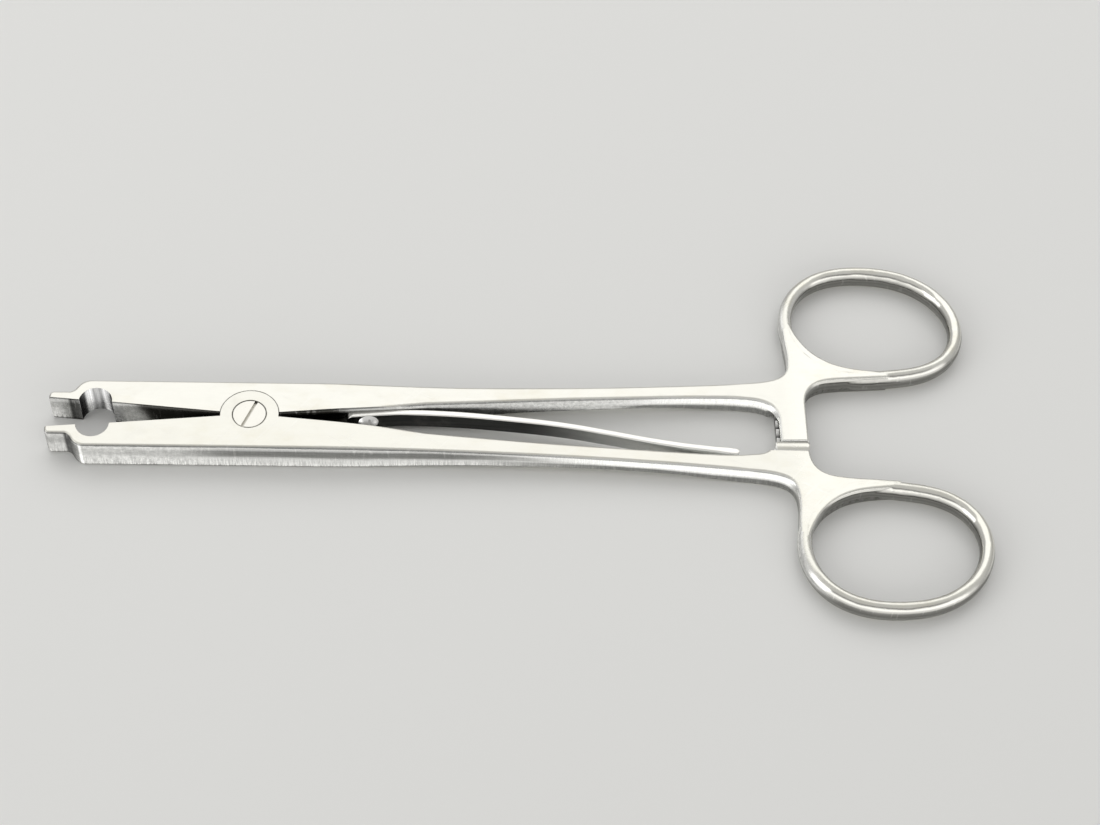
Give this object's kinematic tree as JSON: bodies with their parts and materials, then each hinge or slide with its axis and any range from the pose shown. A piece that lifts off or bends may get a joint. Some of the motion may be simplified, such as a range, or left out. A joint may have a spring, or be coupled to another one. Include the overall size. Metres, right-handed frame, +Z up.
{
  "type": "wound clip applier",
  "caption": "Ring-handled wound clip applier: squeezing the rings opens the seated jaws, a leaf spring closes them and a ratchet holds them open.",
  "frame": {"origin": "middle of the tool's footprint, on the plane it lies on", "axes": "+X along the tool from the jaws to the finger rings, +Y towards the arm that carries the spring, +Z up, square to the tool's flat faces"},
  "size_m": [0.158, 0.0736, 0.0057],
  "materials": {
    "arm_steel": "satin stainless steel, polished by handling on the rounded edges",
    "screw_steel": "turned and satin",
    "spring_steel": "smooth, bright"
  },
  "bodies": {
    "far_body": {"far_arm": "arm_steel", "pivot_screw": "screw_steel", "leaf_spring": "spring_steel", "spring_screw": "screw_steel"},
    "near_body": {"near_arm": "arm_steel"}
  },
  "joints": [
    {"name": "arm_hinge", "type": "hinge", "parent": "far_body", "child": "near_body", "pos_m": [-0.04505, 0, 0.00285], "axis": [0, 0, -1], "range_deg": [0, 10.3], "deforming": ["leaf_spring"]}
  ]
}
